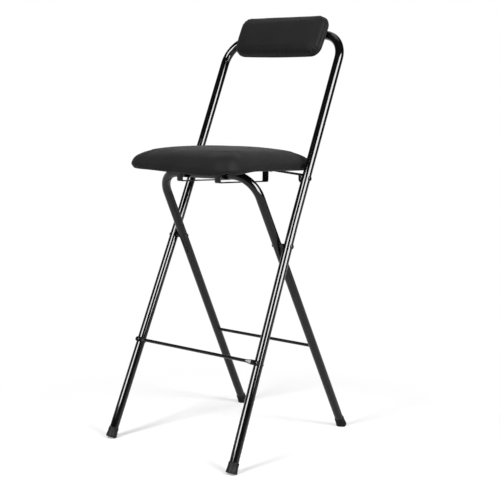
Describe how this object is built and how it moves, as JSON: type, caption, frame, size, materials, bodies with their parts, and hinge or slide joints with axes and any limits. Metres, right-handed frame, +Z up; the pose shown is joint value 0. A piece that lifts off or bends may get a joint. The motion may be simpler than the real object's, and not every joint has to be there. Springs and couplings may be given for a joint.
{
  "type": "folding bar stool",
  "caption": "Tall folding stool: crossed bent-tube frames, a padded seat that tips up as the legs close, a small padded backrest, thin footrest rods and rubber feet.",
  "frame": {"origin": "centre of the footprint, on the floor", "axes": "+Z up, +X to the viewer's right when the stool is seen from the front, the sitter faces -Y"},
  "size_m": [0.425, 0.5093, 1.071],
  "materials": {
    "tube_paint": "gloss black paint",
    "rod_paint": "satin black paint",
    "bracket_paint": "black paint on flat steel",
    "foot_rubber": "moulded matt rubber",
    "pad_leatherette": "grained vinyl leathercloth",
    "pad_foam": "open-cell seat foam",
    "pad_plywood": "plywood stained black",
    "pivot_washer": "moulded nylon",
    "rivet_steel": "blackened steel",
    "screw_steel": "zinc plated steel"
  },
  "bodies": {
    "frame": {"main_frame": "tube_paint", "front_footrest_rod": "rod_paint", "footrest_rivets": "rivet_steel", "left_crossing_pin": "rivet_steel", "right_crossing_pin": "rivet_steel", "left_crossing_spacer": "pivot_washer", "right_crossing_spacer": "pivot_washer", "left_seat_pin": "rivet_steel", "right_seat_pin": "rivet_steel", "left_seat_washer": "pivot_washer", "right_seat_washer": "pivot_washer", "front_left_foot_cap": "foot_rubber", "front_right_foot_cap": "foot_rubber", "backrest_board": "pad_plywood", "backrest_foam": "pad_foam", "backrest_cover": "pad_leatherette", "backrest_tee_nuts": "screw_steel", "backrest_screws": "screw_steel"},
    "rear_legs": {"rear_leg_frame": "tube_paint", "rear_footrest_rod": "rod_paint", "rear_left_foot_cap": "foot_rubber", "rear_right_foot_cap": "foot_rubber"},
    "seat": {"seat_board": "pad_plywood", "seat_foam": "pad_foam", "seat_cover": "pad_leatherette", "seat_tee_nuts": "screw_steel", "seat_pivot_strip": "bracket_paint", "strip_screws": "screw_steel", "guide_screws": "screw_steel", "left_guide_front_hook": "bracket_paint", "right_guide_front_hook": "bracket_paint", "left_guide_rear_hook": "bracket_paint", "right_guide_rear_hook": "bracket_paint"}
  },
  "joints": [
    {"name": "legs_fold", "type": "hinge", "parent": "frame", "child": "rear_legs", "pos_m": [0, -0.03299, 0.50127], "axis": [-1, 0, 0], "range_deg": [0, 51.5]},
    {"name": "seat_fold", "type": "hinge", "parent": "frame", "child": "seat", "pos_m": [0, 0.03409, 0.661], "axis": [-1, 0, 0], "range_deg": [0, 108.51]}
  ],
  "couplings": [
    {"joint": "seat_fold", "follows": "legs_fold", "ratio": 2.1068}
  ]
}
